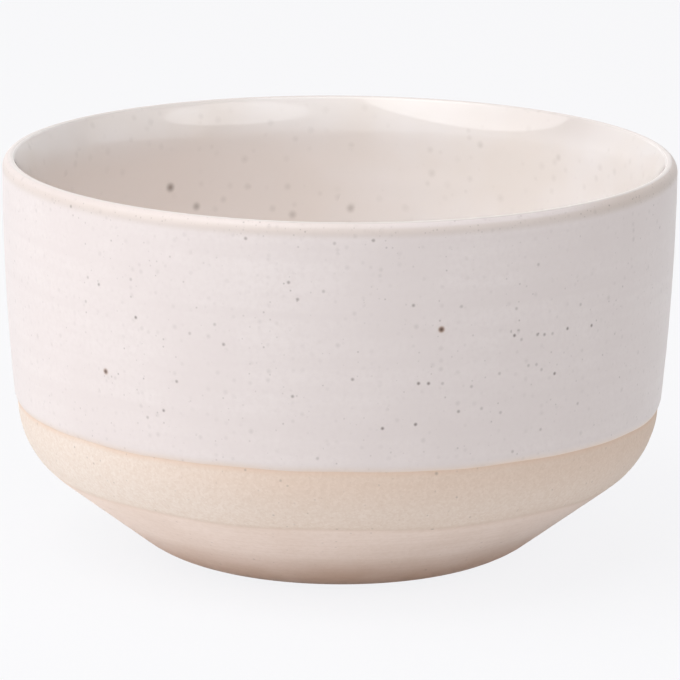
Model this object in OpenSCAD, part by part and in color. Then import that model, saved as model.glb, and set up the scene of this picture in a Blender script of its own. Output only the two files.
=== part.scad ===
// Stoneware cappuccino cup without a handle: one wheel-thrown clay body, a satin glaze
// on the outside of its wall, and a glossy liner glaze that rolls over the lip.
// Millimetres, +Z up. The origin is the middle of the foot, on the surface it stands on.
// Angles along the profile are measured in the plane of radius and height:
// 0 points out from the axis, 90 points up and -90 points down.

/* [Cup] */
// Diameter over the glaze at the rim
rim_d = 95; // [84:1:110]
// Height from the foot to the top of the glazed lip
cup_h = 56.5; // [50:0.5:70]

/* [Outer profile] */
// Radius of the long arc that draws the wall in towards the knuckle
wall_r = 340; // [220:10:800]
// Height where the wall turns into the knuckle
knuckle_z = 20.5; // [18:0.5:24]
// Radius of the knuckle below the wall
knuckle_r = 12.5; // [8:0.5:15]
// Angle of the trimmed cone, from upright
cone_lean = 52.5; // [48:0.5:56]
// Radius with which the cone rolls under to the foot
foot_roll_r = 12.5; // [4:0.5:15]

/* [Clay thickness] */
// Clay in the upright wall
wall_t = 2.6; // [2.5:0.1:4]
// Clay in the trimmed cone, where the bowl inside comes nearest to it
cone_t = 3.4; // [2.6:0.1:5]
// Clay in the floor, above the hollow of the foot
floor_t = 4.2; // [3:0.1:6]

/* [Lip] */
// Radius that rounds the top of the wall in towards the lip
bevel_r = 1.5; // [1:0.1:1.8]
// Angle through which the bevel turns from upright before it meets the lip
bevel_turn = 55; // [45:1:65]
// Radius of the rounded clay edge
lip_r = 0.35; // [0.25:0.05:0.7]
// Radius of the arc inside the lip that thins the wall towards the edge
lip_taper_r = 12; // [6:0.5:30]

/* [Foot] */
// Width of the ring that the cup stands on, with its rounded inner edge
foot_ring_w = 4; // [2.5:0.5:7]
// Rounding of the ring's inner edge
ring_edge_r = 0.4; // [0.2:0.05:0.5]
// Depth of the turned hollow inside the ring
hollow_depth = 1.3; // [0.6:0.1:2]

/* [Glaze] */
// Thickness of both coats of glaze
glaze_t = 0.3; // [0.2:0.05:0.5]
// Height of the line where the outer glaze ends
glaze_line_z = 22.2; // [21:0.2:40]
// Height over which the outer glaze swells from nothing to its full thickness
glaze_edge_h = 1.2; // [0.4:0.1:3]

/* [Hidden] */

clay_colour = "#DFC9B7";
outer_glaze_colour = "#EBE5E0";
liner_glaze_colour = "#EBE1D9";

// Straight steps that stand for one arc of the profile
arc_steps = 14;
$fn = 160;

function polar(a) = [cos(a), sin(a)];

// Steps from one angle to another, leaving out the first, which the piece before ends on
function sweep(from, to) = [for (i = [1:arc_steps]) from + (to - from) * i / arc_steps];
function arc(centre, r, from, to) = [for (a = sweep(from, to)) centre + r * polar(a)];

// Lip: a small round of clay on top of the bevel, which leaves the wall where the wall stands upright
lip_shift = (bevel_r - lip_r) * polar(bevel_turn);
wall_top = [rim_d / 2 - glaze_t, cup_h - glaze_t - lip_r - lip_shift.y];
bevel_c = wall_top - [bevel_r, 0];
lip_c = bevel_c + lip_shift;

// Wall, knuckle and foot roll: three arcs on the outside, with a straight cone before the foot
wall_c = wall_top - [wall_r, 0];
knuckle_lean = asin((wall_top.y - knuckle_z) / wall_r);
knuckle_c = wall_c + (wall_r - knuckle_r) * polar(-knuckle_lean);
cone_normal = polar(-cone_lean);
cone_top = knuckle_c + knuckle_r * cone_normal;
cone_foot_z = foot_roll_r * (1 - sin(cone_lean));
cone_foot = [cone_top.x - (cone_top.y - cone_foot_z) * tan(cone_lean), cone_foot_z];
foot_c = cone_foot - foot_roll_r * cone_normal;

// Hollow of the foot: a cove runs down to the rounded inner edge of the ring
hollow_edge_r = foot_c.x - foot_ring_w;
cove_r = hollow_depth - ring_edge_r;

// Inside of the wall: an arc about the same centre as the outside
inner_wall_r = wall_r - wall_t;

// Lip taper: touches the round of the lip inside it and the inner wall outside it.
// The law of cosines on the three centres gives where it leaves the lip.
taper_gap = lip_taper_r - lip_r;
taper_reach = norm(lip_c - wall_c);
lip_rise = asin((lip_c.y - wall_c.y) / taper_reach);
lip_join = acos(
    (pow(inner_wall_r + lip_taper_r, 2) - pow(taper_reach, 2) - pow(taper_gap, 2))
    / (2 * taper_reach * taper_gap)
) - lip_rise;
taper_c = lip_c - taper_gap * polar(180 - lip_join);
taper_lean = atan2(wall_c.y - taper_c.y, taper_c.x - wall_c.x);

// Bowl: one arc that touches the inner wall, the floor, and a line cone_t inside the cone.
// Its centre lies bowl_r above the floor and, by the cone, at bowl_c.x = bowl_x0 - bowl_slope * bowl_r.
// Touching the wall then gives a quadratic in bowl_r.
floor_z = hollow_depth + floor_t;
bowl_x0 = (cone_top * cone_normal - cone_t + floor_z * sin(cone_lean)) / cos(cone_lean);
bowl_slope = (1 - sin(cone_lean)) / cos(cone_lean);
bowl_drop = floor_z - wall_c.y;
bowl_span = bowl_x0 - wall_c.x;
bowl_b = bowl_span * bowl_slope - inner_wall_r - bowl_drop;
bowl_g = pow(bowl_span, 2) + pow(bowl_drop, 2) - pow(inner_wall_r, 2);
bowl_r = bowl_g / (bowl_b - sqrt(pow(bowl_b, 2) - pow(bowl_slope, 2) * bowl_g));
bowl_c = [bowl_x0 - bowl_slope * bowl_r, floor_z + bowl_r];
bowl_lean = atan2(wall_c.y - bowl_c.y, bowl_c.x - wall_c.x);

// Outside of the clay by angle, stood off by a thickness of glaze
function outside(a, off) = a < -knuckle_lean
    ? knuckle_c + (knuckle_r + off) * polar(a)
    : wall_c + (wall_r + off) * polar(a);
function lean_at(z) = z < knuckle_z
    ? asin((knuckle_c.y - z) / knuckle_r)
    : asin((wall_top.y - z) / wall_r);

// Edge of the outer glaze: a quarter ellipse standing on the clay at the glaze line
line_lean = lean_at(glaze_line_z);
edge_turns = sweep(0, 90);
edge_angles = [for (t = edge_turns) -lean_at(glaze_line_z + glaze_edge_h * (1 - cos(t)))];
edge_thickness = [for (t = edge_turns) glaze_t * sin(t)];
wall_angles = sweep(-lean_at(glaze_line_z + glaze_edge_h), 0);
coat_angles = concat(edge_angles, wall_angles);
coat_thickness = concat(edge_thickness, [for (a = wall_angles) glaze_t]);

// Underside from the axis out: hollow, cove, flat ring, then the roll to the cone
function underside_path() = concat(
    [[0, hollow_depth], [hollow_edge_r - cove_r, hollow_depth]],
    arc([hollow_edge_r - cove_r, ring_edge_r], cove_r, 90, 0),
    arc([hollow_edge_r + ring_edge_r, ring_edge_r], ring_edge_r, 180, 270),
    [[foot_c.x, 0]],
    arc(foot_c, foot_roll_r, -90, -cone_lean)
);

// Bare clay from the top of the cone round the knuckle, and on up the wall where the glaze line lies on it
function bare_path() = concat(
    [cone_top],
    [for (a = sweep(-cone_lean, -max(knuckle_lean, line_lean))) outside(a, 0)],
    line_lean < knuckle_lean ? [for (a = sweep(-knuckle_lean, -line_lean)) outside(a, 0)] : []
);

// Glazed outside from the first step past the glaze line to the top of the bevel:
// the clay at a share of 0, the face of the coat at 1
function coat_path(share) = concat(
    [for (i = [0:len(coat_angles) - 1]) outside(coat_angles[i], share * coat_thickness[i])],
    arc(bevel_c, bevel_r + share * glaze_t, 0, bevel_turn)
);

// Lip, inner wall, bowl and floor, from the first step past the top of the bevel in to the axis
function inside_path(off) = concat(
    arc(lip_c, lip_r + off, bevel_turn, 180 - lip_join),
    arc(taper_c, lip_taper_r + off, 180 - lip_join, 180 - taper_lean),
    arc(wall_c, inner_wall_r - off, -taper_lean, -bowl_lean),
    arc(bowl_c, bowl_r - off, -bowl_lean, -90),
    [[0, floor_z + off]]
);

// Clay body: underside, bare shoulder, the wall and bevel under the glaze, and the inside
module stoneware_body() {
    color(clay_colour)
        rotate_extrude()
            polygon(concat(underside_path(), bare_path(), coat_path(0), inside_path(0)));
}

// Satin coat on the wall, from a feathered edge at the glaze line to the top of the bevel
module outer_glaze() {
    face = coat_path(1);
    face_down = [for (i = [len(face) - 1:-1:0]) face[i]];
    color(outer_glaze_colour)
        rotate_extrude()
            polygon(concat([outside(-line_lean, 0)], coat_path(0), face_down));
}

// Glossy coat from the top of the bevel over the lip, down the inside and across the floor
module liner_glaze() {
    clay_side = concat([lip_c + lip_r * polar(bevel_turn)], inside_path(0));
    face = concat([lip_c + (lip_r + glaze_t) * polar(bevel_turn)], inside_path(glaze_t));
    face_back = [for (i = [len(face) - 1:-1:0]) face[i]];
    color(liner_glaze_colour)
        rotate_extrude()
            polygon(concat(clay_side, face_back));
}

stoneware_body();
outer_glaze();
liner_glaze();
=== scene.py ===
"""Handle-less cappuccino cup: a thrown stoneware body, a satin outer glaze and a glossy liner glaze.

Each piece is a profile turned about the Z axis, with the marks that the potter's hands and tools leave on it.
Lengths are metres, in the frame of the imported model: +Z up, the origin in the middle of the foot.
"""
import math
from functools import partial
from types import SimpleNamespace

import bpy
import numpy as np
from mathutils import Matrix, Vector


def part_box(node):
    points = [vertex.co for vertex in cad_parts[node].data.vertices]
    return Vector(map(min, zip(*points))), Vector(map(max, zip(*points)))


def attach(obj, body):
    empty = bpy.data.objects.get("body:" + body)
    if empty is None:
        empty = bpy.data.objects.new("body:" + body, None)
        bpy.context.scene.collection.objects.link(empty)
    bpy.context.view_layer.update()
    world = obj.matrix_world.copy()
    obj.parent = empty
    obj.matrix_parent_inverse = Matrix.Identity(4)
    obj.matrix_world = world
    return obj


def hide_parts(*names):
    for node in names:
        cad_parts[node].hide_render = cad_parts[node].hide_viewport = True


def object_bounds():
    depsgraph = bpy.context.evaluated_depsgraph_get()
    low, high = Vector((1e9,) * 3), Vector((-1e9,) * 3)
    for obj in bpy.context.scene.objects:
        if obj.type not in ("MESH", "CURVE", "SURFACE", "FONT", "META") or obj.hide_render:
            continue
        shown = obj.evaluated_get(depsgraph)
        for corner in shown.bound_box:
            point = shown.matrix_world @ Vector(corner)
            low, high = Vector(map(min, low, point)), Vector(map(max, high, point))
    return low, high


bl_info = {
    "name": "Stoneware cappuccino cup",
    "version": (1, 0, 0),
    "blender": (4, 5, 0),
    "location": "3D View > Sidebar > Cup",
    "description": "Builds a speckled, half-dipped stoneware cup on its packed frame",
    "category": "Object",
}

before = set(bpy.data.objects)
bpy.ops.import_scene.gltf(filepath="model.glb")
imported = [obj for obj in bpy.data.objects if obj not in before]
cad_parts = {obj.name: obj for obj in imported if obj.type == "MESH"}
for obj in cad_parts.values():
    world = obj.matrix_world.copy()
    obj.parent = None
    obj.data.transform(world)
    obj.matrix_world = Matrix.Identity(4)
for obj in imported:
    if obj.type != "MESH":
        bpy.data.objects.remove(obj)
FRAME_LOW, FRAME_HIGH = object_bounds()
GLAZE_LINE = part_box("outer_glaze")[0][2]

MM = 0.001
TURN = 2 * math.pi
QUARTER = math.pi / 2
PICTURE_SIZE = 680
SENSOR_MM = 36

# Columns of every turned grid, and the angle of each, from the right-hand side of the picture
COLUMNS = 256
ANGLE = np.arange(COLUMNS)[None, :] * TURN / COLUMNS

# Radius at which a profile stops short of the axis, where a fan of triangles closes it
POLE = 0.3 * MM

# Edges that turn by more than this are drawn sharp
SHARP_ANGLE = math.radians(40)

# Power that makes the edge of the outer glaze slimmer than a quarter ellipse
EDGE_POWER = 1.6

# Waves round the cup: share of the depth, count in one turn, and phase. A count of 0 shifts the whole line.
OVAL_WAVES = ((0.7, 2, 0.7), (0.3, 3, -1.1))
LIP_WAVES = ((0.6, 2, -0.4), (0.4, 3, 1.9))
TRIM_WAVES = ((0.5, 9, QUARTER), (-1, 1, 0))
LINE_WAVES = (
    (-1.1, 0, 0), (-1.25, 1, 0), (-0.5, 2, 0),
    (0.25, 7, 1 - QUARTER), (0.2, 13, 2 - QUARTER), (0.15, 23, -QUARTER),
)

# Finger rings of a thrown wall: share of the depth, rings in one spacing, starts of the spiral, and phase
RING_WAVES = ((1, 1, 1, 0), (0.6, 1.7, -2, 0.9), (0.5, 0.43, 1, 2.1))

# Sockets of a Mix node that is set to colour
MIX_FACTOR, MIX_A, MIX_B, MIX_RESULT = 0, 6, 7, 2

# Specks that stand out on each surface, by size: diameter in mm, darkness from 0 to 1,
# and the pixels across and down where they lie
OUTSIDE_SPECKS = (
    (0.76, 0.90, ((441, 329),)),
    (0.76, 0.84, ((105, 371),)),
    (0.58, 0.68, (
        (135, 317), (418, 383), (428, 383), (554, 373), (514, 335), (591, 325), (382, 428), (415, 424),
        (567, 328),
    )),
    (0.58, 0.48, (
        (373, 240), (413, 305), (537, 334), (352, 379), (163, 410), (297, 299), (292, 396), (518, 463),
        (223, 344), (70, 206), (98, 284), (176, 381), (288, 282), (458, 411), (544, 334), (245, 238),
        (627, 195), (566, 212),
    )),
    (0.58, 0.28, (
        (189, 333), (85, 301), (317, 458), (577, 403), (540, 429), (499, 373), (659, 227), (334, 243),
        (147, 417), (500, 412), (130, 279), (538, 264), (323, 291), (87, 277), (214, 324), (580, 304),
        (512, 451), (511, 331), (518, 330), (552, 333), (521, 339), (461, 306), (516, 308), (528, 365),
        (536, 364), (541, 369), (471, 386), (481, 408), (442, 383),
    )),
)
INSIDE_SPECKS = (
    (1.65, 0.66, ((170, 187),)),
    (1.5, 0.42, ((196, 206),)),
    (1.5, 0.29, ((292, 214), (350, 208))),
    (1.3, 0.13, ((272, 208), (223, 199), (247, 186), (287, 186), (480, 144), (558, 157))),
)
BARE_SPECKS = (
    (0.6, 0.32, ((436, 473), (432, 529))),
)

# Oval softboxes: name, watts, width and height in metres, degrees left of the camera and above the floor,
# distance in metres, and whether glossy surfaces mirror it, which they don't where it stands for a pale wall
SOFTBOXES = (
    ("softbox_left", 11.4, (1.6, 1.45), 60, 45, 1.2, True),
    ("left_wall", 2.7, (1.2, 0.5), 74, 10, 1.1, False),
    ("softbox_top", 5.9, (1.2, 1.2), 40, 78, 1.3, True),
    ("softbox_right", 1.75, (1.3, 0.9), -80, 20, 1.2, True),
    ("softbox_right_front", 2.9, (1.2, 0.66), -42, 31, 1.2, True),
    ("softbox_back", 2.5, (1.6, 1.0), 180, 30, 1.3, True),
    ("softbox_top_back", 2.0, (1.2, 1.0), 160, 65, 1.3, True),
)


def linear(colour):
    """Linear red, green, blue and full opacity of an sRGB hex colour such as "#E9E1DC"."""
    shares = np.array([int(colour[i:i + 2], 16) for i in (1, 3, 5)]) / 255
    curved = ((shares + 0.055) / 1.055) ** 2.4
    return (*(float(v) for v in np.where(shares <= 0.04045, shares / 12.92, curved)), 1.0)


def number(name, description, default, **options):
    """A number property."""
    return bpy.props.FloatProperty(name=name, description=description, default=default, **options)


def length(name, description, default):
    """A length property in metres, with its default in millimetres."""
    return number(name, description, default * MM, min=0, precision=5, unit="LENGTH")


def degrees(name, description, default):
    """An angle property, with its default in degrees."""
    return number(name, description, math.radians(default), subtype="ANGLE")


def tint(name, description, default):
    """A colour property with an sRGB hex default."""
    return bpy.props.FloatVectorProperty(
        name=name, description=description, default=linear(default), size=4, min=0, max=1, subtype="COLOR"
    )


class CupShape(bpy.types.PropertyGroup):
    """Sizes of the turned profile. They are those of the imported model."""

    rim_diameter: length("Rim", "Diameter over the glaze at the rim", (FRAME_HIGH[0] - FRAME_LOW[0]) / MM)
    height: length("Height", "From the foot to the top of the glazed lip", FRAME_HIGH[2] / MM)
    wall_radius: length("Wall arc", "Radius of the long arc that draws the wall in", 340)
    knuckle_height: length("Knuckle height", "Where the wall turns into the knuckle", 20.5)
    knuckle_radius: length("Knuckle", "Radius of the knuckle below the wall", 12.5)
    cone_lean: degrees("Cone", "Angle of the trimmed cone from upright", 52.5)
    foot_roll_radius: length("Foot roll", "Radius with which the cone rolls under", 12.5)
    wall_thickness: length("Wall clay", "Clay in the upright wall", 2.6)
    cone_thickness: length("Cone clay", "Clay in the cone, where the bowl comes nearest", 3.4)
    floor_thickness: length("Floor clay", "Clay in the floor above the hollow", 4.2)
    bevel_radius: length("Lip bevel", "Radius that rounds the top of the wall towards the lip", 1.5)
    bevel_turn: degrees("Bevel turn", "Angle through which the bevel leans in before the lip", 55)
    lip_radius: length("Lip", "Radius of the rounded clay edge", 0.35)
    taper_radius: length("Lip taper", "Radius of the arc that thins the wall inside the lip", 12)
    ring_width: length("Foot ring", "Width of the flat ring that the cup stands on", 4)
    hollow_depth: length("Foot hollow", "Depth of the turned hollow inside the ring", 1.3)
    ring_edge: length("Ring edge", "Rounding of the ring's inner edge", 0.4)
    glaze_thickness: length("Glaze", "Thickness of both coats of glaze", 0.3)
    glaze_line: length("Glaze line", "Height of the line where the outer glaze ends", GLAZE_LINE / MM)
    glaze_edge: length("Glaze edge", "Height over which the outer glaze swells to its thickness", 1.2)


class HandMarks(bpy.types.PropertyGroup):
    """Depths and spacings of what hands and tools leave on the cup."""

    out_of_round: length("Out of round", "How far the rim strays from a circle", 0.12)
    lip_wave: length("Lip wave", "How far the lip strays from level", 0.08)
    line_wave: length("Glaze line wave", "How far the dipped line strays from level", 0.2)
    wall_ring_depth: length("Wall rings", "Depth of the finger rings on the wall", 0.014)
    wall_ring_spacing: length("Wall ring spacing", "Rise of one finger ring on the wall", 4.6)
    ridge_height: length("Ridge height", "Height of the one ridge that a finger left", 50.6)
    ridge_rise: length("Ridge", "How far that ridge stands out at its highest", 0.012)
    ridge_width: length("Ridge width", "Half the height over which that ridge rises and falls", 0.45)
    ridge_angle: degrees("Ridge angle", "Where it is highest, from the right-hand side of the picture", 290)
    marks_fade: length("Marks fade", "Height below the bevel over which the marks on the wall end", 4)
    bowl_ring_depth: length("Bowl rings", "Depth of the finger rings inside", 0.030)
    bowl_ring_spacing: length("Bowl ring spacing", "Rise of one finger ring inside", 6.5)
    bowl_ring_fade: length("Bowl ring fade", "Distance below the lip over which those rings start", 8)
    trim_height: length("Trim line", "Height up to which the foot was turned with a tool", 12.9)
    trim_wave: length("Trim wave", "How far the trim line strays from level", 0.4)
    trim_depth: length("Trim depth", "Clay that the turning tool took off", 0.06)
    trim_edge: length("Trim edge", "Half the height of the step down to the turned clay", 0.25)
    crease_depth: length("Crease", "Depth of the crease where the tool came off", 0.03)
    crease_width: length("Crease width", "Half the height of that crease", 0.35)
    groove_depth: length("Turning grooves", "Depth of the fine grooves of the turning tool", 0.006)
    groove_spacing: length("Groove spacing", "Distance between the turning grooves", 0.9)
    swell_spacing: length("Swell spacing", "Distance between the slow swells of the turned cone", 3.4)
    foot_fade: length("Foot fade", "Height above the foot over which the turning marks start", 1.2)


class CupColours(bpy.types.PropertyGroup):
    """Colours of the fired clay and the two glazes."""

    satin: tint("Satin glaze", "Off-white of the outer glaze", "#E9E0DF")
    satin_cloud: tint("Satin cloud", "Where the outer glaze lies a little thinner", "#E3D9D8")
    satin_thin: tint("Thin glaze", "Outer glaze at the dipped line, where the clay shows through", "#EBD8CA")
    # Thin glaze over the bevel, painted darker at the right as painted shade and lighter at the front right
    # as a painted highlight
    satin_lip: tint("Glaze at the lip", "Outer glaze where it runs thin over the bevel", "#D6C9C2")
    liner: tint("Liner glaze", "Warm white of the liner", "#F2EEED")
    liner_cloud: tint("Liner cloud", "Where the liner lies a little thinner", "#EDE6E1")
    # Painted shade: the liner is painted darker and warmer on the shaded left and deeper in the bowl
    liner_painted_shade: tint("Warm liner", "Liner on the left, where the clay warms it", "#EADFD9")
    # Painted shade: besides the thin liner over the lip, this tint is painted below the lip at the right
    lip: tint("Thin liner", "Liner where it runs thin, over the lip and below it at the right", "#D6CDC9")
    clay: tint("Bare clay", "Fired stoneware with fine sand in it", "#E9D5C7")
    clay_grain: tint("Clay grain", "Darker grains of the bare clay", "#D2B9A6")
    trimmed: tint("Trimmed clay", "Clay burnished by the turning tool", "#F3E2D9")
    # Painted light: paler clay painted on the lit left side and low on the thrown band
    painted_light_clay: tint("Pale clay", "Clay that the fire left paler, at the left and lower down", "#F0E7E0")
    # Painted shade: the foot is painted darker brown towards the floor, where it stands in shade
    painted_foot_shade: tint("Toasted clay", "Clay browned at the foot, next to the kiln shelf", "#C19A80")
    flush: tint("Flush", "Brown flush of the clay just under the glaze", "#E4C9B6")
    iron: tint("Iron", "Iron that bled through the glaze", "#4A332B")
    spread_iron: tint("Spread iron", "Brown of iron that spread in the liner", "#553A22")
    rust: tint("Rust", "Brown ring that iron leaves in the glaze round a bold speck", "#9C6B3F")


class Studio(bpy.types.PropertyGroup):
    """Camera, lights and floor."""

    camera_elevation: degrees("Camera elevation", "Angle of the view above the horizon", 13.228)
    camera_roll: degrees("Camera roll", "Turn of the camera about its own axis", 0.45)
    camera_distance: length("Camera distance", "From the middle of the cup", 731.8)
    lens: number("Lens", "Focal length on a 36 mm sensor, in mm", 272.32, subtype="DISTANCE_CAMERA")
    middle_across: number("Middle across", "Pixel where the middle of the cup is", 338.30, subtype="PIXEL")
    middle_down: number("Middle down", "Pixel where the middle of the cup is", 349.71, subtype="PIXEL")
    lamp_share: number("Lamps", "Strength of all the softboxes together", 1.0, min=0)
    room_light: number("Room light", "Even light from the walls of the room", 0.015, min=0)
    floor: tint("Floor", "Pale paper floor", "#F1F1F0")
    backdrop: tint("Backdrop", "Plain white that the camera sees round the cup", "#FAFAFC")
    backdrop_share: number("Backdrop share", "Share of that white in what the camera sees of the floor", 0.9)


def polar(angle):
    """Unit vectors in the plane of radius and height: 0 points out, a quarter turn points up."""
    return np.stack([np.cos(angle), np.sin(angle)], axis=-1)


def arc(centre, radius, start, end, step):
    """Points of an arc about `step` apart, without the first, which the piece before ends on."""
    count = max(2, math.ceil(abs(end - start) * radius / step))
    return centre + radius * polar(np.linspace(start, end, count + 1)[1:])


def straight(start, end, step):
    """Points of a straight piece about `step` apart, without the first."""
    start, end = np.asarray(start), np.asarray(end)
    count = max(1, math.ceil(np.linalg.norm(end - start) / step))
    return start + (end - start) * np.linspace(0, 1, count + 1)[1:, None]


def smooth(value, low, high):
    """0 below low, 1 above high, and between them the cubic that leaves both ends level."""
    part = np.clip((value - low) / (high - low), 0, 1)
    return part * part * (3 - 2 * part)


def facing(direction, far, near):
    """Share of each column by the cosine of its angle to a direction: 0 below `far`, 1 above `near`."""
    return smooth(np.cos(ANGLE - direction), far, near)


def all_round(profile):
    """Repeats the numbers or points of a profile on every column."""
    return np.repeat(profile[:, None], COLUMNS, axis=1)


def cup_profile(cup):
    """Centres and angles of the arcs of the clay, which touch each other without a corner.

    Outside, from the lip down: the small round of the lip, the bevel, the wall arc that leaves it upright,
    the knuckle, a straight cone, and the roll to the foot. Inside: the lip taper, an arc about the wall's own
    centre, and one bowl arc. The law of cosines on the centres of lip, taper and wall gives where the taper
    leaves the lip. The bowl touches the inner wall, the floor and a line inside the cone, which gives a
    quadratic in its radius.
    """
    p = SimpleNamespace()
    lip_shift = (cup.bevel_radius - cup.lip_radius) * polar(cup.bevel_turn)
    p.wall_top = np.array([
        cup.rim_diameter / 2 - cup.glaze_thickness,
        cup.height - cup.glaze_thickness - cup.lip_radius - lip_shift[1],
    ])
    p.bevel_c = p.wall_top - (cup.bevel_radius, 0)
    p.lip_c = p.bevel_c + lip_shift
    p.wall_c = p.wall_top - (cup.wall_radius, 0)
    p.knuckle_lean = math.asin((p.wall_top[1] - cup.knuckle_height) / cup.wall_radius)
    p.knuckle_c = p.wall_c + (cup.wall_radius - cup.knuckle_radius) * polar(-p.knuckle_lean)

    cone_normal = polar(-cup.cone_lean)
    p.cone_top = p.knuckle_c + cup.knuckle_radius * cone_normal
    cone_foot_z = cup.foot_roll_radius * (1 - math.sin(cup.cone_lean))
    cone_run = (p.cone_top[1] - cone_foot_z) * math.tan(cup.cone_lean)
    p.foot_c = np.array([p.cone_top[0] - cone_run, cone_foot_z]) - cup.foot_roll_radius * cone_normal
    p.hollow_edge = p.foot_c[0] - cup.ring_width

    p.inner_wall_r = cup.wall_radius - cup.wall_thickness
    gap = cup.taper_radius - cup.lip_radius
    reach = np.linalg.norm(p.lip_c - p.wall_c)
    apart = p.inner_wall_r + cup.taper_radius
    lip_rise = math.asin((p.lip_c[1] - p.wall_c[1]) / reach)
    p.lip_join = math.acos((apart ** 2 - reach ** 2 - gap ** 2) / (2 * reach * gap)) - lip_rise
    p.taper_c = p.lip_c - gap * polar(math.pi - p.lip_join)
    p.taper_lean = math.atan2(p.wall_c[1] - p.taper_c[1], p.taper_c[0] - p.wall_c[0])

    p.floor_z = cup.hollow_depth + cup.floor_thickness
    cone_in = p.cone_top @ cone_normal - cup.cone_thickness
    bowl_x0 = (cone_in + p.floor_z * math.sin(cup.cone_lean)) / math.cos(cup.cone_lean)
    slope = (1 - math.sin(cup.cone_lean)) / math.cos(cup.cone_lean)
    drop = p.floor_z - p.wall_c[1]
    span = bowl_x0 - p.wall_c[0]
    half = span * slope - p.inner_wall_r - drop
    rest = span ** 2 + drop ** 2 - p.inner_wall_r ** 2
    p.bowl_r = rest / (half - math.sqrt(half ** 2 - slope ** 2 * rest))
    p.bowl_c = np.array([bowl_x0 - slope * p.bowl_r, p.floor_z + p.bowl_r])
    p.bowl_lean = math.atan2(p.wall_c[1] - p.bowl_c[1], p.bowl_c[0] - p.wall_c[0])
    return p


def inside_path(cup, p, coat, fine, coarse):
    """Lip, taper, inner wall, bowl and floor, from the bevel in to the axis, stood off by a coat."""
    lip_end, taper_end = math.pi - p.lip_join, math.pi - p.taper_lean
    floor_z = p.floor_z + coat
    return np.concatenate([
        arc(p.lip_c, cup.lip_radius + coat, cup.bevel_turn, lip_end, fine),
        arc(p.taper_c, cup.taper_radius + coat, lip_end, taper_end, coarse),
        arc(p.wall_c, p.inner_wall_r - coat, -p.taper_lean, -p.bowl_lean, coarse),
        arc(p.bowl_c, p.bowl_r - coat, -p.bowl_lean, -QUARTER, coarse),
        straight((p.bowl_c[0], floor_z), (POLE, floor_z), coarse),
    ])


def bevel_path(cup, p, step):
    """Bevel of the clay from the top of the wall to the lip."""
    return arc(p.bevel_c, cup.bevel_radius, 0, cup.bevel_turn, step)


def stand_off(path, depth):
    """Moves each point of a path by `depth` to its right-hand side, which is out of the clay or glaze."""
    along = np.gradient(path, axis=0)
    along /= np.linalg.norm(along, axis=1, keepdims=True)
    out = np.stack([along[:, 1], -along[:, 0]], axis=1)
    return path[:, None, :] + out[:, None, :] * depth[..., None]


def outside_at(cup, p, height, depth):
    """Point of the wall or knuckle at a height on the clay, stood off by `depth` along the arc's radius."""
    on_wall = height > cup.knuckle_height
    centre_r = np.where(on_wall, p.wall_c[0], p.knuckle_c[0])
    centre_z = np.where(on_wall, p.wall_c[1], p.knuckle_c[1])
    radius = np.where(on_wall, cup.wall_radius, cup.knuckle_radius)
    sine = np.clip((centre_z - height) / radius, -1, 1)
    lean = np.arcsin(sine)
    return np.stack([centre_r + (radius + depth) * np.cos(lean), centre_z - (radius + depth) * sine], axis=-1)


def waves(parts):
    """Sum of cosine waves round the cup, each with its share, its count in one turn and its phase."""
    return sum(share * np.cos(count * ANGLE + phase) for share, count, phase in parts)


def finger_rings(along, spacing, depth):
    """Spiral ridges of a thrown wall: sine waves of unequal pitch that climb as they go round."""
    turns = TURN * along / spacing
    ridge = sum(
        share * np.sin(rings * turns + starts * ANGLE + phase) for share, rings, starts, phase in RING_WAVES
    )
    return depth * ridge / sum(share for share, *_ in RING_WAVES)


def trim_line_at(marks):
    """Height of the crease where the turning tool came off: higher at the left, with small waves."""
    return marks.trim_height + marks.trim_wave * waves(TRIM_WAVES)


def wall_marks(marks, height):
    """Finger rings and one ridge above the trim line, a crease on it, and clay that is cut back below it.

    The ridge is highest at the front, a little to the right, and gone at the back.
    """
    above = height - trim_line_at(marks)
    kept = smooth(above, -marks.trim_edge, marks.trim_edge)
    rings = finger_rings(height, marks.wall_ring_spacing, marks.wall_ring_depth)
    crease = marks.crease_depth * np.exp(-(above / marks.crease_width) ** 2)
    ridge = marks.ridge_rise * np.exp(-((height - marks.ridge_height) / marks.ridge_width) ** 2)
    in_front = np.cos((ANGLE - marks.ridge_angle) / 2) ** 2
    return kept * rings + in_front * ridge - (1 - kept) * marks.trim_depth - crease


def glaze_line_at(cup, marks):
    """Height of the dipped line: a little lower at the right, with small wiggles where the glaze ran."""
    return cup.glaze_line + marks.line_wave * waves(LINE_WAVES)


def turn_round(cup, marks, path):
    """Carries profile points, radius and height, round the axis, with a slightly oval rim and a wavy lip."""
    rise = path[..., 1] / cup.height
    stray = marks.out_of_round * waves(OVAL_WAVES)
    radius = path[..., 0] * (1 + rise * stray / (cup.rim_diameter / 2))
    wave = marks.lip_wave * waves(LIP_WAVES)
    height = path[..., 1] + smooth(rise, low=0.6, high=1) * wave
    return np.stack([radius * np.cos(ANGLE), radius * np.sin(ANGLE), height], axis=-1)


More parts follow.
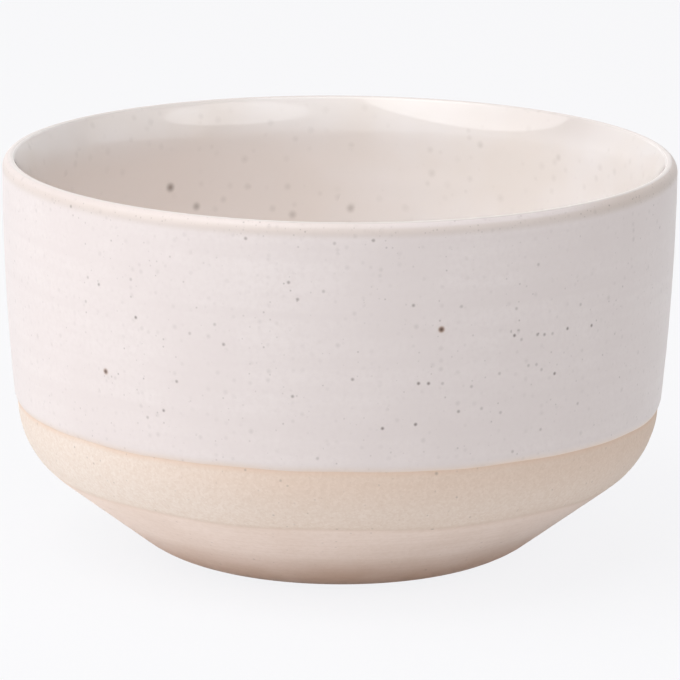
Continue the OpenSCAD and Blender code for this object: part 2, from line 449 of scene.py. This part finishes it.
def turned_mesh(name, grid, poles):
    """Closed mesh of a turned piece. grid[i, j] is step i of the profile at turn j.

    With poles, the first and last step are closed by fans to those two heights on the axis. Without, the last
    step joins the first.
    """
    steps, turns = grid.shape[:2]
    index = np.arange(steps * turns).reshape(steps, turns)
    if not poles:
        index = np.concatenate([index, index[:1]])
    beside = np.roll(index, -1, axis=1)
    quads = np.stack([index[:-1], beside[:-1], beside[1:], index[1:]], axis=-1).reshape(-1, 4)
    points = grid.reshape(-1, 3)
    corners = quads.ravel()
    starts = np.arange(len(quads)) * 4
    if poles:
        points = np.concatenate([points, [(0, 0, height) for height in poles]])
        first = np.stack([np.full(turns, steps * turns), beside[0], index[0]], axis=-1)
        last = np.stack([index[-1], beside[-1], np.full(turns, steps * turns + 1)], axis=-1)
        fans = np.concatenate([first, last])
        starts = np.concatenate([starts, len(corners) + np.arange(len(fans)) * 3])
        corners = np.concatenate([corners, fans.ravel()])

    mesh = bpy.data.meshes.new(name)
    mesh.vertices.add(len(points))
    mesh.vertices.foreach_set("co", points.ravel())
    mesh.loops.add(len(corners))
    mesh.loops.foreach_set("vertex_index", corners.astype(np.int32))
    mesh.polygons.add(len(starts))
    mesh.polygons.foreach_set("loop_start", starts.astype(np.int32))
    mesh.update(calc_edges=True)
    mesh.validate()
    mesh.shade_smooth()
    mesh.set_sharp_from_angle(angle=SHARP_ANGLE)
    return mesh


def store_on_points(mesh, name, values):
    """Keeps one number for each of the mesh's first points, and 0 for the points after them."""
    full = np.zeros(len(mesh.vertices))
    full[:values.size] = values.ravel()
    mesh.attributes.new(name, "FLOAT", "POINT").data.foreach_set("value", full)


def focal_pixels(studio):
    """Focal length in pixels of the picture."""
    return studio.lens / SENSOR_MM * PICTURE_SIZE


def camera_pose(studio, cup):
    """Place of the camera and the columns right, up and back of its turn.

    It looks at the middle of the cup from the front, rolled about its own axis, and is swung until that
    middle stands on its pixel of the picture.
    """
    tilt = studio.camera_elevation
    back = np.array([0, -math.cos(tilt), math.sin(tilt)])
    place = np.array([0, 0, cup.height / 2]) + studio.camera_distance * back
    pixel = studio.camera_distance / focal_pixels(studio)
    roll = studio.camera_roll
    level = np.array([[1, 0, 0], [0, math.sin(tilt), math.cos(tilt)]])
    right, up = np.array([[math.cos(roll), math.sin(roll)], [-math.sin(roll), math.cos(roll)]]) @ level
    half = PICTURE_SIZE / 2
    swing = right * (half - studio.middle_across) + up * (studio.middle_down - half)
    back = back * studio.camera_distance - swing * pixel
    back /= np.linalg.norm(back)
    right -= back * (right @ back)
    right /= np.linalg.norm(right)
    return place, np.stack([right, np.cross(back, right), back], axis=1)


def speck_places(studio, cup, pixels, radius_at, far_side):
    """Where the camera's rays through the middles of some pixels meet the cup.

    Each ray is cut with a cylinder, whose radius is then set to that of the cup at the height of the cut.
    """
    steps = 12
    place, turn = camera_pose(studio, cup)
    half = PICTURE_SIZE / 2
    across, down = pixels.T + 0.5
    ahead = np.full(len(across), -focal_pixels(studio))
    rays = np.stack([across - half, half - down, ahead], axis=1) @ turn.T
    flat = rays[:, :2]
    square = (flat ** 2).sum(axis=1)
    half_b = flat @ place[:2] / square
    radius = np.full(len(rays), cup.rim_diameter / 2)
    for _ in range(steps):
        spread = half_b ** 2 - (place[:2] @ place[:2] - radius ** 2) / square
        root = np.sqrt(np.maximum(spread, 0))
        hits = place + rays * (-half_b + (root if far_side else -root))[:, None]
        radius = radius_at(hits[:, 2])
    return hits


def set_specks(mesh, scene, specks, radius_at, far_side=False):
    """Keeps on each face the place, radius and darkness of the listed speck that lies nearest to it.

    The list is used twice, the second time half a turn round the cup.
    """
    listed = np.array([(*pixel, size / 2 * MM, dark) for size, dark, group in specks for pixel in group])
    front = speck_places(scene.cup_studio, scene.cup_shape, listed[:, :2], radius_at, far_side)
    places = np.concatenate([front, front * (-1, -1, 1)])
    radii, darkness = np.tile(listed[:, 2:], (2, 1)).T

    centres = np.empty(len(mesh.polygons) * 3)
    mesh.polygons.foreach_get("center", centres)
    gaps = (places ** 2).sum(axis=1) - 2 * centres.reshape(-1, 3) @ places.T
    nearest = gaps.argmin(axis=1)
    for name, kind, field, values in (
        ("speck_place", "FLOAT_VECTOR", "vector", places[nearest].ravel()),
        ("speck_radius", "FLOAT", "value", radii[nearest]),
        ("speck_darkness", "FLOAT", "value", darkness[nearest]),
    ):
        mesh.attributes.new(name, kind, "FACE").data.foreach_set(field, values)


def add_piece(mesh, node, material):
    """Links a piece at the origin, on the one body of the cup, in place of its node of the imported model."""
    piece = bpy.data.objects.new(mesh.name, mesh)
    bpy.context.scene.collection.objects.link(piece)
    mesh.materials.append(material)
    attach(piece, "root")
    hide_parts(node)


def set_inputs(node, inputs):
    """Sets inputs of a node to values, or links them from an output or from the first output of a node."""
    for socket, value in inputs.items():
        if isinstance(value, bpy.types.Node):
            value = value.outputs[0]
        if isinstance(value, bpy.types.NodeSocket):
            node.id_data.links.new(value, node.inputs[socket])
        else:
            node.inputs[socket].default_value = value


def add_node(tree, kind, inputs=None, **settings):
    """Adds a shader node with its settings, values and links."""
    node = tree.nodes.new("ShaderNode" + kind)
    for name, value in settings.items():
        setattr(node, name, value)
    set_inputs(node, inputs or {})
    return node


def start_material(name):
    """A new material, its shader, and the function that adds nodes to it."""
    material = bpy.data.materials.new(name)
    material.use_nodes = True
    return material, material.node_tree.nodes["Principled BSDF"], partial(add_node, material.node_tree)


def layered(add, base, *layers):
    """Colour of a base with layers over it, each a mask from 0 to 1 and the colour that it shows at 1."""
    colour = base
    for mask, over in layers:
        mixed = add("Mix", {MIX_FACTOR: mask, MIX_A: colour, MIX_B: over}, data_type="RGBA")
        colour = mixed.outputs[MIX_RESULT]
    return colour


def freckles(add, place, cell, largest, softness, rarity, weak, strong):
    """Mask of round specks of many sizes: one ball in each cell of a 3-D pattern, cut by the surface.

    Cell, largest diameter and softness of the edge are in millimetres. The radius is a power of a random
    number, so that with a high rarity large ones are rare. The strength is another random number between
    weak and strong.
    """
    cells = add("TexVoronoi", {"Vector": place, "Scale": 1 / (cell * MM)}).outputs
    chance = add("SeparateColor", {"Color": cells["Color"]}).outputs
    small = add("Math", {0: chance["Red"], 1: rarity}, operation="POWER")
    radius = add("Math", {0: small, 1: largest / 2 / cell}, operation="MULTIPLY")
    inner = add("Math", {0: radius, 1: cells["Distance"]}, operation="SUBTRACT")
    mask = add("Math", {0: inner, 1: cell / softness}, operation="MULTIPLY", use_clamp=True)
    strength = add("MapRange", {"Value": chance["Green"], "To Min": weak, "To Max": strong})
    return add("Math", {0: mask, 1: strength}, operation="MULTIPLY")


def listed_speck(add, place, inner, outer, faintest=0.0):
    """Mask of the speck kept on each face: full within `inner` radii of its middle, gone at `outer` radii.

    It is as strong as the speck is dark, and specks no darker than `faintest` are left out.
    """
    middle, radius, darkness = (
        add("Attribute", attribute_name="speck_" + name).outputs for name in ("place", "radius", "darkness")
    )
    away = add("VectorMath", {0: place, 1: middle["Vector"]}, operation="DISTANCE")
    radii = add("Math", {0: away.outputs["Value"], 1: radius["Fac"]}, operation="DIVIDE")
    mask = add(
        "MapRange", {"Value": radii, "From Min": inner, "From Max": outer, "To Min": 1, "To Max": 0},
        interpolation_type="SMOOTHSTEP",
    )
    strength = add("MapRange", {"Value": darkness["Fac"], "From Min": faintest})
    return add("Math", {0: mask, 1: strength}, operation="MULTIPLY")


def streaks(add, place, across, rise):
    """Soft level bands as a wheel leaves them: noise that is long round the cup and short in height."""
    stretched = add("Mapping", {"Vector": place, "Scale": (1 / across, 1 / across, 1 / rise)})
    return add("TexNoise", {"Vector": stretched, "Scale": 1.0, "Detail": 2.0})


def satin_glaze(colours):
    """Satin magnesia glaze over a speckled body, dipped.

    It scatters light under a soft sheen, so that it looks milky. It clouds a little where it lies thinner,
    shows iron from the clay as grey smudges and dark specks, and is warmed by the clay at the dipped line and
    the lip. Over the lip it is painted darker at the right, as painted shade, and lighter at the front right,
    as a painted highlight.
    """
    material, shader, add = start_material("satin_magnesia_glaze")
    place = add("TexCoord").outputs["Object"]
    cloud = add("TexNoise", {"Vector": place, "Scale": 1 / (16 * MM), "Detail": 3.0})
    cloud_share = add("MapRange", {"Value": cloud, "From Min": 0.35, "From Max": 0.7})
    band = streaks(add, place, across=60 * MM, rise=1.8 * MM)
    curd = add("TexNoise", {"Vector": place, "Scale": 1 / (0.7 * MM), "Detail": 2.0})
    band_share, curd_share = (
        add("MapRange", {"Value": noise, "From Min": 0.4, "From Max": 0.75, "To Max": 0.8})
        for noise in (band, curd)
    )
    patch = add("TexNoise", {"Vector": place, "Scale": 1 / (5 * MM), "Detail": 2.0})
    patch_share = add("MapRange", {"Value": patch, "From Min": 0.35, "From Max": 0.65, "To Min": 0.6})
    at_line, at_lip = (
        add("Attribute", attribute_name=name).outputs["Fac"] for name in ("thin_at_line", "thin_lip_and_painted_light")
    )
    line_share = add("Math", {0: at_line, 1: patch_share}, operation="MULTIPLY")
    smudges, fine_specks, lip_freckles = (
        freckles(add, place, cell, largest, softness, rarity, weak, strong)
        for cell, largest, softness, rarity, weak, strong in (
            (1.15, 1.0, 0.45, 1.0, 0.03, 0.16),
            (0.9, 0.44, 0.17, 1.5, 0.1, 0.42),
            (0.5, 0.36, 0.12, 1.2, 0.1, 0.55),
        )
    )
    lip_specks = add("Math", {0: lip_freckles, 1: at_lip}, operation="MULTIPLY")
    colour = layered(
        add, colours.satin,
        (cloud_share, colours.satin_cloud),
        (band_share, colours.satin_cloud),
        (curd_share, colours.satin_cloud),
        (line_share, colours.satin_thin),
        # Thin glaze at the lip, with painted shade at the right and a painted highlight at the front right
        (at_lip, colours.satin_lip),
        (lip_specks, colours.iron),
        (smudges, colours.iron),
        (fine_specks, colours.iron),
        (listed_speck(add, place, inner=0.6, outer=1.7, faintest=0.7), colours.rust),
        (listed_speck(add, place, inner=0.15, outer=1.25), colours.iron),
    )
    sheen = add("MapRange", {"Value": cloud, "To Min": 0.32, "To Max": 0.46})
    bump = add("Bump", {"Height": curd, "Strength": 0.35, "Distance": 0.02 * MM})
    set_inputs(shader, {"Base Color": colour, "Roughness": sheen, "IOR": 1.5, "Normal": bump})
    return material


def liner_glaze(colours):
    """Glossy liner glaze, poured in and out.

    It is smooth and shiny, so that it mirrors the softboxes. It lies thick in the bowl and thin over the lip,
    where the clay greys it. Painted shade darkens it below the lip at the right, and darkens and warms it on
    the left and deeper down. Iron from the clay spreads in it as soft dark spots.
    """
    material, shader, add = start_material("glossy_liner_glaze")
    place = add("TexCoord").outputs["Object"]
    cloud = add("TexNoise", {"Vector": place, "Scale": 1 / (14 * MM), "Detail": 2.0})
    cloud_share = add("MapRange", {"Value": cloud, "From Min": 0.35, "From Max": 0.7})
    axes = add("SeparateXYZ", {"Vector": place}).outputs
    # Painted shade: darker and warmer towards the left and deeper down
    painted_shade_left, painted_shade_deep = (
        add("MapRange", {"Value": axis, "From Min": low, "From Max": high, "To Min": 1, "To Max": least})
        for axis, low, high, least in (
            (axes["X"], -25 * MM, 22 * MM, 0),
            (axes["Z"], 48 * MM, 53 * MM, 0.35),
        )
    )
    painted_shade_share = add("Math", {0: painted_shade_left, 1: painted_shade_deep}, operation="MULTIPLY")
    thin, lip = (add("Attribute", attribute_name=name).outputs["Fac"] for name in ("thin", "lip"))
    spots = freckles(add, place, cell=2.0, largest=1.7, softness=1.0, rarity=0.8, weak=0.04, strong=0.18)
    colour = layered(
        add, colours.liner,
        (cloud_share, colours.liner_cloud),
        # Painted shade on the left and deeper down
        (painted_shade_share, colours.liner_painted_shade),
        # Thin liner over the lip, and painted shade below it at the right
        (thin, colours.lip),
        (spots, colours.spread_iron),
        (listed_speck(add, place, inner=0.0, outer=1.25), colours.spread_iron),
    )
    gloss = add("MapRange", {"Value": cloud, "To Min": 0.03, "To Max": 0.07})
    roughness = add("MapRange", {"Value": lip, "To Min": gloss, "To Max": 0.42})
    ripple = add("TexNoise", {"Vector": place, "Scale": 1 / (5 * MM), "Detail": 1.0})
    bump = add("Bump", {"Height": ripple, "Strength": 0.4, "Distance": 0.03 * MM})
    set_inputs(shader, {"Base Color": colour, "Roughness": roughness, "IOR": 1.6, "Normal": bump})
    return material


def bare_stoneware(colours):
    """Unglazed buff stoneware, thrown, with its foot turned on the wheel.

    It is dry and matt, and sand in the clay shows as fine grains. The turned foot is burnished smoother,
    paler and pinker, up to a crease where the tool came off, along which painted shade darkens it. The thrown
    clay is painted paler on the lit left and lower down, as painted light, with a thin brown flush just under
    the glaze. Painted shade darkens the foot to brown towards the floor, and more at its bottom edge.
    """
    material, shader, add = start_material("unglazed_buff_stoneware")
    place = add("TexCoord").outputs["Object"]
    axes = add("SeparateXYZ", {"Vector": place}).outputs
    above_trim, below_line = (
        add("Attribute", attribute_name=name).outputs["Fac"] for name in ("above_trim", "below_line")
    )

    # The sand of such clay is finer than a pixel, so its grains are drawn coarser, at 0.3 mm
    grains = add("TexVoronoi", {"Vector": place, "Scale": 1 / (0.3 * MM)})
    grain = add("SeparateColor", {"Color": grains.outputs["Color"]}).outputs["Red"]
    sand = add("TexNoise", {"Vector": place, "Scale": 1 / (0.7 * MM), "Detail": 3.0})
    mottle = add("TexNoise", {"Vector": place, "Scale": 1 / (9 * MM), "Detail": 3.0})
    tool = streaks(add, place, across=30 * MM, rise=0.35 * MM)
    off_crease = add("Math", {0: above_trim}, operation="ABSOLUTE")

    # Each share follows a value: its name, the value, two bounds, and the share at each of them
    share = {
        name: add("MapRange", {"Value": value, "From Min": a, "From Max": b, "To Min": at_a, "To Max": at_b})
        for name, value, a, b, at_a, at_b in (
            ("grain", grain, 0, 1, 0, 0.27),
            ("sand", sand, 0.4, 0.75, 0, 0.17),
            ("mottle", mottle, 0.4, 0.75, 0, 0.18),
            ("tool", tool, 0.4, 0.75, 0, 0.13),
            ("patch", mottle, 0.35, 0.65, 0.65, 0.95),
            # Painted light: the thrown clay is painted paler towards the lit left and lower down the band
            ("painted light left", axes["X"], -34 * MM, -6 * MM, 0.65, 0),
            ("painted light below", below_line, 2 * MM, 6.5 * MM, 0, 0.45),
            ("thrown", above_trim, -0.2 * MM, 0.2 * MM, 0, 1),
            # Painted shade along the crease, over its real groove
            ("crease", off_crease, 0, 0.6 * MM, 0.3, 0),
            # Painted shade towards the floor, strongest at the foot
            ("low", axes["Z"], 0.5 * MM, 7 * MM, 1, 0),
            # Painted shade: the bottom edge of the foot is painted darker, where it meets the floor
            ("edge", axes["Z"], 0.2 * MM, 1.6 * MM, 0.22, 0),
            ("near line", below_line, 0.2 * MM, 0.9 * MM, 0.7, 0),
        )
    }
    # The painted shade at the foot and the flush under the glaze, each broken up in patches
    painted_foot_shade, flushed = (
        add("Math", {0: share[name], 1: share["patch"]}, operation="MULTIPLY")
        for name in ("low", "near line")
    )
    specks = freckles(add, place, cell=0.95, largest=0.5, softness=0.16, rarity=1.7, weak=0.05, strong=0.3)

    thrown = layered(
        add, colours.clay,
        # Painted light on the lit left and lower down
        (share["painted light left"], colours.painted_light_clay),
        (share["painted light below"], colours.painted_light_clay),
        (share["grain"], colours.clay_grain),
        (share["sand"], colours.clay_grain),
    )
    turned = layered(
        add, colours.trimmed,
        (share["mottle"], colours.clay_grain),
        (share["tool"], colours.clay_grain),
        (share["sand"], colours.clay_grain),
    )
    colour = layered(
        add, turned,
        (share["thrown"], thrown),
        # Painted shade in the crease
        (share["crease"], colours.clay_grain),
        # Painted shade of the foot, towards the floor
        (painted_foot_shade, colours.painted_foot_shade),
        # Painted shade at the bottom edge of the foot
        (share["edge"], colours.iron),
        (flushed, colours.flush),
        (specks, colours.iron),
        (listed_speck(add, place, inner=0.15, outer=1.25), colours.iron),
    )
    dry = add("MapRange", {"Value": share["thrown"], "To Min": 0.68, "To Max": 0.88})
    gritty = add("MapRange", {"Value": share["thrown"], "To Min": 0.1, "To Max": 0.25})
    bump = add("Bump", {"Height": sand, "Strength": gritty, "Distance": 0.06 * MM})
    set_inputs(shader, {"Base Color": colour, "Roughness": dry, "IOR": 1.45, "Normal": bump})
    return material


class CUP_OT_stoneware_body(bpy.types.Operator):
    """Throw and trim the clay body"""

    bl_idname = "cup.stoneware_body"
    bl_label = "Stoneware body"

    def execute(self, context):
        scene = context.scene
        cup, marks = scene.cup_shape, scene.cup_marks
        p = cup_profile(cup)
        fine, bare_step, hidden_step = 0.3 * MM, 0.12 * MM, 2.5 * MM

        cove = cup.hollow_depth - cup.ring_edge
        cove_c = (p.hollow_edge - cove, cup.ring_edge)
        ring_c = (p.hollow_edge + cup.ring_edge, cup.ring_edge)
        under = np.concatenate([
            straight((POLE, cup.hollow_depth), (cove_c[0], cup.hollow_depth), step=0.45 * MM),
            arc(cove_c, cove, QUARTER, 0, step=0.15 * MM),
            arc(ring_c, cup.ring_edge, math.pi, 3 * QUARTER, step=0.1 * MM),
            straight((ring_c[0], 0), (p.foot_c[0], 0), step=0.5 * MM),
        ])
        # The tool is pressed harder in the hollow, so its grooves are three times as deep there
        turning = np.sin(TURN * under[:, 0] / marks.groove_spacing)
        in_hollow = smooth(under[:, 1], 0.5 * cup.hollow_depth, cup.hollow_depth)
        under_depth = all_round(3 * marks.groove_depth * (turning * in_hollow))

        cone_foot = p.foot_c + cup.foot_roll_radius * polar(-cup.cone_lean)
        cone = np.concatenate([
            arc(p.foot_c, cup.foot_roll_radius, -QUARTER, -cup.cone_lean, fine),
            straight(cone_foot, p.cone_top, fine),
        ])
        off_foot = smooth(cone[:, 1], 0, marks.foot_fade)[:, None]
        grooves = np.sin(TURN * cone[:, 0] / marks.groove_spacing)[:, None]
        swell = finger_rings(cone[:, :1], marks.swell_spacing, marks.groove_depth)
        cone_depth = off_foot * (marks.groove_depth * grooves + swell - marks.trim_depth)

        # The clay shows up to the dipped line, which stays well below bare_top
        bare_top = cup.glaze_line + 4 * marks.line_wave
        bare = np.arange(p.cone_top[1], bare_top, bare_step)[1:]
        covered = np.linspace(bare_top, p.wall_top[1], num=14)
        height = np.concatenate([bare, covered])
        outside = outside_at(cup, p, all_round(height), wall_marks(marks, height[:, None]))

        inside = np.concatenate([bevel_path(cup, p, fine), inside_path(cup, p, 0, fine, hidden_step)])
        path = np.concatenate([
            stand_off(under, under_depth),
            stand_off(cone, cone_depth),
            outside,
            all_round(inside),
        ])
        poles = (cup.hollow_depth, p.floor_z)
        mesh = turned_mesh("stoneware_body_clay", turn_round(cup, marks, path), poles)
        store_on_points(mesh, "below_line", glaze_line_at(cup, marks) - path[..., 1])
        store_on_points(mesh, "above_trim", path[..., 1] - trim_line_at(marks))

        heights = np.concatenate([cone[:, 1], height])
        radii = np.concatenate([cone[:, 0], outside[:, 0, 0]])
        set_specks(mesh, scene, BARE_SPECKS, lambda z: np.interp(z, heights, radii))
        add_piece(mesh, "stoneware_body", bare_stoneware(scene.cup_colours))
        return {"FINISHED"}


class CUP_OT_outer_glaze(bpy.types.Operator):
    """Dip the outside of the wall in satin glaze"""

    bl_idname = "cup.outer_glaze"
    bl_label = "Outer glaze"

    def execute(self, context):
        scene = context.scene
        cup, marks = scene.cup_shape, scene.cup_marks
        p = cup_profile(cup)
        wall_step, bevel_step = 0.3 * MM, 0.12 * MM
        line = glaze_line_at(cup, marks)
        top = p.wall_top[1]

        # The glaze swells from nothing at the dipped line to its full thickness
        swell = np.linspace(0, QUARTER, num=15)[:, None]
        rows = math.ceil((top - cup.glaze_line - cup.glaze_edge) / wall_step)
        above = np.linspace(0, 1, rows + 1)[1:, None]
        height = np.concatenate([
            line + cup.glaze_edge * (1 - np.cos(swell)),
            line + cup.glaze_edge + above * (top - line - cup.glaze_edge),
        ])
        coat = np.concatenate([np.sin(swell) ** EDGE_POWER, np.ones_like(above)]) * cup.glaze_thickness
        thin_at_line = np.concatenate([np.cos(swell), np.zeros_like(above)]) ** 2
        fade = 1 - smooth(height, top - marks.marks_fade, top)
        face = outside_at(cup, p, height, fade * wall_marks(marks, height) + coat)
        bevel = bevel_path(cup, p, bevel_step)
        bevel_face = stand_off(bevel, np.full((len(bevel), COLUMNS), cup.glaze_thickness))

        down = np.linspace(1, 0, num=25)[:-1, None]
        back_height = line + down * (top - line)
        back = outside_at(cup, p, back_height, wall_marks(marks, back_height))
        path = np.concatenate([face, bevel_face, all_round(bevel[::-1]), back])
        mesh = turned_mesh("outer_glaze_coat", turn_round(cup, marks, path), poles=None)
        store_on_points(mesh, "thin_at_line", all_round(thin_at_line))

        # Over the bevel the glaze is thin, and painted shade makes the tint strongest at the right.
        # Elsewhere, before the liner, a painted highlight takes the tint back off, most of all at the front
        # right.
        over_bevel = np.linspace(0, cup.bevel_radius * cup.bevel_turn, len(bevel) + 1)[1:]
        past_top = np.concatenate([height - top, all_round(over_bevel)])
        right = facing(0, far=0.6, near=0.85)
        front_right = facing(math.radians(300), far=0.86, near=0.98)
        thin_and_painted_shade = 0.75 + 0.25 * right
        painted_highlight_most = (0.25 + 0.65 * front_right) * (1 - right)
        thin = thin_and_painted_shade * smooth(past_top, low=-0.7 * MM, high=0.45 * MM)
        painted_highlight = painted_highlight_most * smooth(past_top, low=0.6 * MM, high=1.0 * MM)
        store_on_points(mesh, "thin_lip_and_painted_light", thin * (1 - painted_highlight))

        set_specks(
            mesh, scene, OUTSIDE_SPECKS, lambda z: outside_at(cup, p, z, cup.glaze_thickness)[:, 0]
        )
        add_piece(mesh, "outer_glaze", satin_glaze(scene.cup_colours))
        return {"FINISHED"}


class CUP_OT_liner_glaze(bpy.types.Operator):
    """Pour the liner glaze over the inside and the lip"""

    bl_idname = "cup.liner_glaze"
    bl_label = "Liner glaze"

    def execute(self, context):
        scene = context.scene
        cup, marks = scene.cup_shape, scene.cup_marks
        p = cup_profile(cup)
        coat = cup.glaze_thickness

        seam = polar(cup.bevel_turn)
        face = np.concatenate([
            (p.lip_c + (cup.lip_radius + coat) * seam)[None],
            inside_path(cup, p, coat, fine=0.08 * MM, coarse=0.35 * MM),
        ])
        back = np.concatenate([
            (p.lip_c + cup.lip_radius * seam)[None],
            inside_path(cup, p, 0, fine=0.3 * MM, coarse=2.5 * MM),
        ])[::-1]

        # The finger rings start below the lip and end near the middle of the floor
        steps = np.linalg.norm(np.diff(face, axis=0), axis=1)
        along = np.concatenate([[0], np.cumsum(steps)])[:, None]
        lip_end = (cup.lip_radius + coat) * (math.pi - p.lip_join - cup.bevel_turn)
        off_lip = smooth(along, lip_end, lip_end + marks.bowl_ring_fade)
        off_middle = smooth(face[:, :1], low=2 * MM, high=9 * MM)
        rings = finger_rings(along, marks.bowl_ring_spacing, marks.bowl_ring_depth) * (off_lip * off_middle)
        path = np.concatenate([all_round(back), stand_off(face, rings)])
        poles = (p.floor_z, p.floor_z + coat)
        mesh = turned_mesh("liner_glaze_coat", turn_round(cup, marks, path), poles)

        # The liner is thin over the lip. Below the lip at the right it is painted darker as painted shade,
        # but less so at the far right
        thin_reach = 6.5 * MM
        lip = 1 - smooth(along, 0.55 * lip_end, lip_end)
        right = facing(0, far=0.1, near=0.8)
        far_right = facing(0, far=0.7, near=0.93)
        near_lip = 0.95 * (1 - smooth(along, lip_end, lip_end + thin_reach))
        below = near_lip * (right * (1 - 0.6 * far_right))
        on_back = np.zeros((len(back), COLUMNS))
        store_on_points(mesh, "lip", np.concatenate([on_back, all_round(lip[:, 0])]))
        store_on_points(mesh, "thin", np.concatenate([on_back, lip + (1 - lip) * below]))

        below_lip = face[face[:, 1] < p.wall_top[1]][::-1]
        set_specks(
            mesh, scene, INSIDE_SPECKS,
            lambda z: np.interp(z, below_lip[:, 1], below_lip[:, 0]), far_side=True,
        )
        add_piece(mesh, "liner_glaze", liner_glaze(scene.cup_colours))
        return {"FINISHED"}


class CUP_OT_stage(bpy.types.Operator):
    """Set the camera, the softboxes, the room and the floor"""

    bl_idname = "cup.stage"
    bl_label = "Stage"

    def execute(self, context):
        scene = context.scene
        studio = scene.cup_studio
        place, turn = camera_pose(studio, scene.cup_shape)
        camera_data = bpy.data.cameras.new("camera")
        camera_data.lens = studio.lens
        camera_data.sensor_width = SENSOR_MM
        camera = bpy.data.objects.new("camera", camera_data)
        pose = np.eye(4)
        pose[:3, :3] = turn
        pose[:3, 3] = place
        camera.matrix_world = Matrix(pose.tolist())
        scene.collection.objects.link(camera)
        scene.camera = camera

        for name, power, *setting in SOFTBOXES:
            add_softbox(scene, name, power * studio.lamp_share, *setting)
        make_room(scene, studio)
        make_floor(scene, studio)
        scene.view_settings.view_transform = "Standard"
        return {"FINISHED"}


def add_softbox(scene, name, power, size, azimuth, elevation, distance, mirrored):
    """A soft oval lamp that faces the cup, at an angle left of the camera and above the floor, in degrees."""
    light = bpy.data.lights.new(name, "AREA")
    light.shape = "ELLIPSE"
    light.size, light.size_y = size
    light.energy = power
    lamp = bpy.data.objects.new(name, light)
    a, e = math.radians(azimuth), math.radians(elevation)
    lamp.location = (
        -distance * math.sin(a) * math.cos(e),
        -distance * math.cos(a) * math.cos(e),
        distance * math.sin(e),
    )
    lamp.rotation_euler = (QUARTER - e, 0, -a)
    lamp.visible_camera = False
    lamp.visible_glossy = mirrored
    scene.collection.objects.link(lamp)


def looked_at(add):
    """1 for rays of the camera, also by way of a mirror or glass, and 0 for rays that light the cup."""
    rays = add("LightPath").outputs
    seen = rays["Is Camera Ray"]
    for kind in ("Is Glossy Ray", "Is Transmission Ray"):
        seen = add("Math", {0: seen, 1: rays[kind]}, operation="MAXIMUM")
    return seen


def make_room(scene, studio):
    """Even room light for the cup, and a plain white backdrop where the camera looks past it."""
    world = bpy.data.worlds.new("room")
    scene.world = world
    world.use_nodes = True
    world.node_tree.nodes.clear()
    add = partial(add_node, world.node_tree)
    lit = add("Background", {"Color": (1, 1, 1, 1), "Strength": studio.room_light})
    white = add("Background", {"Color": studio.backdrop, "Strength": 1.0})
    mixed = add("MixShader", {0: looked_at(add), 1: lit, 2: white})
    add("OutputWorld", {"Surface": mixed})


def make_floor(scene, studio):
    """A large sheet of pale paper just under the foot. Most of what the camera sees of it is the backdrop."""
    half = 4.0
    depth = -0.05 * MM
    corners = [(-half, -half, depth), (half, -half, depth), (half, half, depth), (-half, half, depth)]
    mesh = bpy.data.meshes.new("paper_floor")
    mesh.from_pydata(corners, [], [(0, 1, 2, 3)])
    material, shader, add = start_material("matt_paper")
    set_inputs(shader, {"Base Color": studio.floor, "Roughness": 0.9, "Specular IOR Level": 0.1})
    white_share = add("Math", {0: looked_at(add), 1: studio.backdrop_share}, operation="MULTIPLY")
    white = add("Emission", {"Color": studio.backdrop, "Strength": 1.0})
    mixed = add("MixShader", {0: white_share, 1: shader, 2: white})
    set_inputs(material.node_tree.nodes["Material Output"], {"Surface": mixed})
    mesh.materials.append(material)
    floor = bpy.data.objects.new("paper_floor", mesh)
    scene.collection.objects.link(floor)


class CUP_PT_sidebar(bpy.types.Panel):
    """Lists the pieces of the cup and the sizes that they are made to"""

    bl_label = "Stoneware cup"
    bl_idname = "CUP_PT_sidebar"
    bl_space_type = "VIEW_3D"
    bl_region_type = "UI"
    bl_category = "Cup"

    def draw(self, context):
        layout = self.layout
        for operator in OPERATORS:
            layout.operator(operator.bl_idname)
        for group, kind in GROUPS.items():
            box = layout.box()
            for name in kind.__annotations__:
                box.prop(getattr(context.scene, group), name)


GROUPS = {
    "cup_shape": CupShape,
    "cup_marks": HandMarks,
    "cup_colours": CupColours,
    "cup_studio": Studio,
}
OPERATORS = (CUP_OT_stage, CUP_OT_stoneware_body, CUP_OT_outer_glaze, CUP_OT_liner_glaze)


def register():
    for kind in (*GROUPS.values(), *OPERATORS, CUP_PT_sidebar):
        bpy.utils.register_class(kind)
    for name, kind in GROUPS.items():
        setattr(bpy.types.Scene, name, bpy.props.PointerProperty(type=kind))


def unregister():
    for name in GROUPS:
        delattr(bpy.types.Scene, name)
    for kind in (CUP_PT_sidebar, *reversed(OPERATORS), *reversed(list(GROUPS.values()))):
        bpy.utils.unregister_class(kind)


def main():
    register()
    bpy.ops.cup.stage()
    bpy.ops.cup.stoneware_body()
    bpy.ops.cup.outer_glaze()
    bpy.ops.cup.liner_glaze()


if __name__ == "__main__":
    main()
